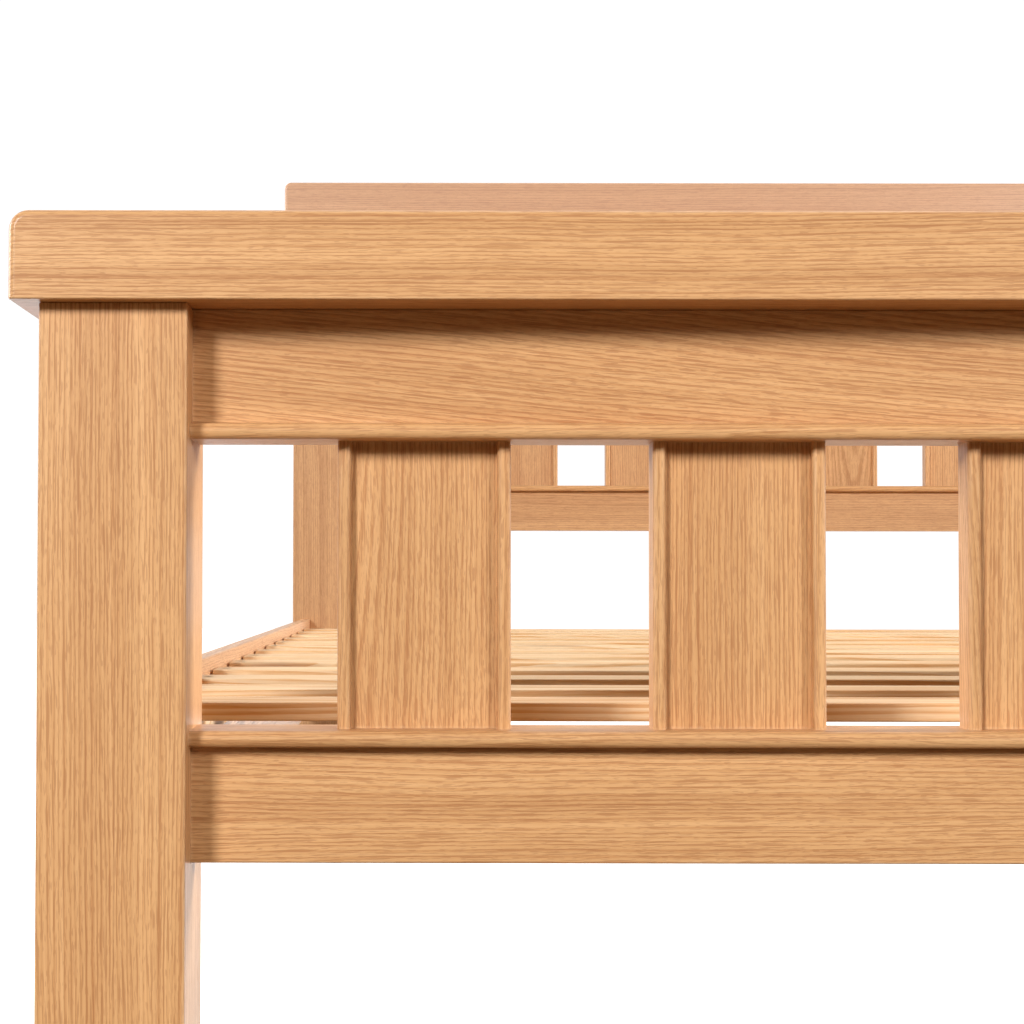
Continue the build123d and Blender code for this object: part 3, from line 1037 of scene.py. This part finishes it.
@dataclass
class Studio:
    """A white floor and surround, soft light and the camera.

    Attributes:
        lamps: a key from the front left, a fill from the front right, one on each side and one on top.
        floor_radius: radius of the floor.
        floor_grey: the floor's own colour.
        floor_glow: how much the floor shines by itself.
        floor_bounce: the dim warm colour that it has as a source of light on the bed.
        floor_mirrored: the stretch along Y behind which the floor is mirrored as white.
        white: strength of the surround to the eye.
        ambient_front: the surround's light from in front of the bed.
        ambient_behind: its light from behind.
        ambient_turn: the directions along Y between which the one turns into the other.
        eye: the camera's place.
        pitch: its angle upwards, in degrees.
        yaw: its angle to the right, in degrees.
        roll: its turn about its own view, in degrees.
        lens: its focal length in millimetres.
        sensor: the width of its sensor in millimetres.
        shift: its shift across and up.
        clip: the nearest and farthest distance that it sees.
    """

    lamps: tuple[Lamp, ...] = (
        Lamp("key", (-3.7, -6.5, 3.0), (-0.5, -1.0, 0.5), 1.35, 405.0),
        Lamp("fill", (3.9, -5.8, 2.7), (0, -1.0, 0.5), 1.9, 270.0),
        Lamp("left_side", (-6.0, 0.85, 2.2), (0, -0.4, 0.4), 2.0, 250.0),
        Lamp("right_side", (6.0, 0.85, 2.2), (0, -0.4, 0.4), 2.0, 480.0),
        Lamp("top", (0, 1.2, 5.0), (0, 0.6, 0.4), 2.4, 30.0),
    )
    floor_radius: float = 14.0
    floor_grey: Colour = (0.8, 0.8, 0.8, 1.0)
    floor_glow: float = 0.85
    floor_bounce: Colour = (0.14, 0.10, 0.06, 1.0)
    floor_mirrored: tuple[float, float] = (-1.0, -0.4)
    white: float = 1.05
    ambient_front: Colour = (0.026, 0.019, 0.012, 1.0)
    ambient_behind: Colour = (0.85, 0.85, 0.85, 1.0)
    ambient_turn: tuple[float, float] = (-0.1, 0.35)
    eye: Triple = (-0.571418, -2.018129, 0.406126)
    pitch: float = 1.533
    yaw: float = -0.087
    roll: float = 0.089
    lens: float = 69.17
    sensor: float = 36.0
    shift: tuple[float, float] = (0.0923, 0.0133)
    clip: tuple[float, float] = (0.05, 100.0)

    def build(self) -> None:
        """Sets the stage."""
        scene = bpy.context.scene
        scene.view_settings.view_transform = "Standard"
        scene.view_settings.look = "None"
        self._surround(scene)
        self._floor()
        for lamp in self.lamps:
            lamp.build()
        self._camera(scene)

    def _surround(self, scene: bpy.types.Scene) -> None:
        """Makes a surround that is white to the eye, and as light is bright behind the bed and dim in front.

        Args:
            scene: the scene that it surrounds.
        """
        world = bpy.data.worlds.new("surround")
        scene.world = world
        world.use_nodes = True
        world.node_tree.nodes.clear()
        sh = Shader(world.node_tree)
        seen = sh.node("Background", {"Color": WHITE, "Strength": self.white})
        behind = sh.node("SeparateXYZ", {0: sh.node("TexCoord").outputs["Generated"]}).outputs[1]
        shade = sh.mix(sh.span(behind, *self.ambient_turn), self.ambient_front, self.ambient_behind)
        light = sh.node("Background", {"Color": shade, "Strength": 1.0})
        path = sh.node("LightPath").outputs["Is Camera Ray"]
        both = sh.node("MixShader", {0: path, 1: light.outputs[0], 2: seen.outputs[0]})
        world.node_tree.links.new(both.outputs[0], sh.node("OutputWorld").inputs["Surface"])

    def _floor(self) -> None:
        """Lays a round floor: white to the eye, mirrored as white behind the bed, and dim as light."""
        bpy.ops.object.select_all(action="DESELECT")
        bpy.ops.mesh.primitive_circle_add(vertices=96, radius=self.floor_radius, fill_type="NGON")
        floor = bpy.context.object
        floor.name = "floor"
        made, sh = fresh_material("floor_white")
        seen = sh.node("BsdfPrincipled", {"Base Color": self.floor_grey, "Roughness": 0.9,
                                          "Emission Color": WHITE, "Emission Strength": self.floor_glow})
        bounce = sh.node("BsdfDiffuse", {"Color": self.floor_bounce})
        path = sh.node("LightPath").outputs
        back = sh.node("SeparateXYZ", {0: sh.node("TexCoord").outputs["Object"]}).outputs[1]
        mirrored = sh.calc("MULTIPLY", path["Is Glossy Ray"], sh.span(back, *self.floor_mirrored))
        bright = sh.calc("MAXIMUM", path["Is Camera Ray"], mirrored)
        sh.surface(sh.node("MixShader", {0: bright, 1: bounce.outputs[0], 2: seen.outputs[0]}))
        floor.data.materials.append(made)

    def _camera(self, scene: bpy.types.Scene) -> None:
        """Sets up the camera, low and square on in front of the left foot post.

        Args:
            scene: the scene that it is for.
        """
        pitch, yaw, roll = (math.radians(a) for a in (self.pitch, self.yaw, self.roll))
        ahead = Vector((math.sin(yaw) * math.cos(pitch), math.cos(yaw) * math.cos(pitch), math.sin(pitch)))
        right = Vector((math.cos(yaw), -math.sin(yaw), 0))
        up = right.cross(ahead)
        across = right * math.cos(roll) + up * math.sin(roll)
        above = up * math.cos(roll) - right * math.sin(roll)
        data = bpy.data.cameras.new("camera")
        data.lens, data.sensor_width = self.lens, self.sensor
        data.shift_x, data.shift_y = self.shift
        data.clip_start, data.clip_end = self.clip
        camera = bpy.data.objects.new("camera", data)
        scene.collection.objects.link(camera)
        turn = Matrix((across, above, -ahead)).transposed().to_4x4()
        camera.matrix_world = Matrix.Translation(self.eye) @ turn
        scene.camera = camera


def main() -> None:
    """Builds the bed frame and its studio."""
    logging.basicConfig(level=logging.INFO, format="%(name)s: %(message)s")
    EndFrame("foot", FOOT_CUTS).build()
    EndFrame("head", HEAD_CUTS).build()
    SlatBase().build()
    Hardware().build()
    Studio().build()


if __name__ == "__main__":
    main()
